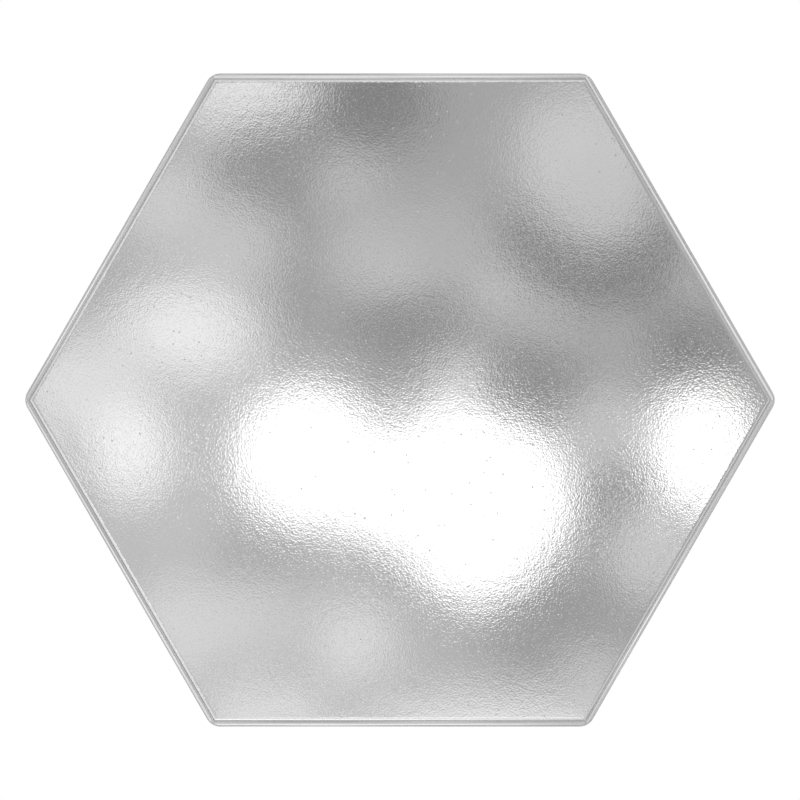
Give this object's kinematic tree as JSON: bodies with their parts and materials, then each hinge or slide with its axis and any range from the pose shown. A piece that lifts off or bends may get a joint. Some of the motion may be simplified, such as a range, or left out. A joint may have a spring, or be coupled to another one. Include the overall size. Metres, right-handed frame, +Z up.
{
  "type": "hexagonal wall mirror",
  "caption": "Hexagonal wall mirror: textured mirror glass with pencil-rounded edges in a slim polished steel frame, on a backing board with ring hangers.",
  "frame": {"origin": "centre of the whole mirror's bounding box: the middle of the hexagon, half-way between the frame's front and the feet's rear faces", "axes": "+X right as seen from the front, +Y back towards the wall, +Z up; the mirror faces -Y and hangs with flat sides at top and bottom"},
  "size_m": [0.5966, 0.0225, 0.52],
  "materials": {
    "frame": "polished, ground corners",
    "weld": "as welded",
    "mirror": "silvered, hammered texture",
    "tape": "closed-cell foam",
    "board": "raw fibreboard",
    "tab": "mill finish",
    "tab_screw": "bright zinc plated",
    "hanger": "brass plated, satin",
    "ring": "brass plated, bright",
    "hanger_screw": "brass plated, bright",
    "foot": "matt"
  },
  "bodies": {
    "mirror": {"rail_top": "frame", "rail_upper_right": "frame", "rail_lower_right": "frame", "rail_bottom": "frame", "rail_lower_left": "frame", "rail_upper_left": "frame", "corner_welds": "weld", "mirror_glass": "mirror", "foam_tape": "tape", "backing_board": "board", "tab_top": "tab", "tab_upper_right": "tab", "tab_lower_right": "tab", "tab_bottom": "tab", "tab_lower_left": "tab", "tab_upper_left": "tab", "tab_screws": "tab_screw", "hanger_strap_left": "hanger", "hanger_strap_right": "hanger", "hanger_screws": "hanger_screw", "foot_upper_right": "foot", "foot_lower_right": "foot", "foot_lower_left": "foot", "foot_upper_left": "foot"},
    "ring_left": {"hanger_ring_left": "ring"},
    "ring_right": {"hanger_ring_right": "ring"}
  },
  "joints": [
    {"name": "ring_left_swing", "type": "hinge", "parent": "mirror", "child": "ring_left", "pos_m": [-0.13, 0.00633, 0.1505], "axis": [1, 0, 0], "range_deg": [0, 178]},
    {"name": "ring_right_swing", "type": "hinge", "parent": "mirror", "child": "ring_right", "pos_m": [0.13, 0.00633, 0.1505], "axis": [1, 0, 0], "range_deg": [0, 178]}
  ]
}
